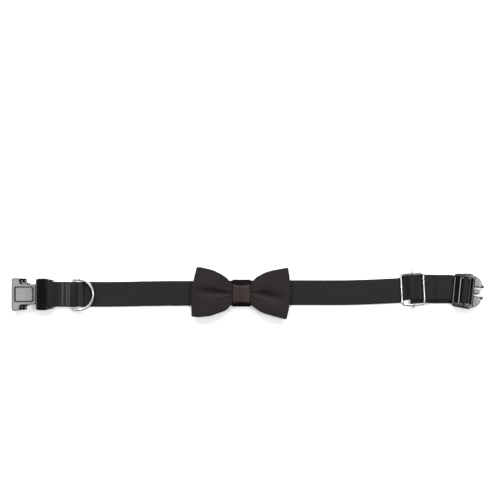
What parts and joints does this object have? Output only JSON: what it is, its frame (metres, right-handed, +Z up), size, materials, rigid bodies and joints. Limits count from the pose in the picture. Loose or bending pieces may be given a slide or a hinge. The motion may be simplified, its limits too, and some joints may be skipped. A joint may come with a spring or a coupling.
{
  "type": "pet bow tie collar",
  "caption": "Pet collar of black webbing with a cloth bow tie, side release buckle, wire slider and D-ring, lying open and flat.",
  "frame": {"origin": "middle of the bounding box at the surface the collar lies on", "axes": "+X along the collar from the female buckle half to the male one, +Y across it, +Z up out of the surface towards the bow's front"},
  "size_m": [0.4711, 0.052, 0.011],
  "materials": {
    "webbing": "black woven webbing",
    "black_plastic": "moulded, smooth satin gloss",
    "nickel": "nickel plated steel wire",
    "bow_cloth": "charcoal plain woven cloth",
    "knot_cloth": "brown black band of the bow's cloth",
    "elastic": "dark brown black elastic"
  },
  "bodies": {
    "collar": {"strap": "webbing", "male_buckle": "black_plastic", "slider_frame": "nickel", "slider_bar": "nickel", "bow": "bow_cloth", "bow_knot": "knot_cloth", "bow_keeper": "elastic"},
    "female_half": {"female_buckle": "black_plastic"},
    "ring": {"d_ring": "nickel"}
  },
  "joints": [
    {"name": "female_half_turn", "type": "hinge", "parent": "collar", "child": "female_half", "pos_m": [-0.1981, -0.0012, 0.005], "axis": [0, 1, 0], "range_deg": [0, 80]},
    {"name": "d_ring_turn", "type": "hinge", "parent": "collar", "child": "ring", "pos_m": [-0.1747, -0.0014, 0.0033], "axis": [-0.0175, -0.9998, 0], "range_deg": [0, 150]}
  ]
}
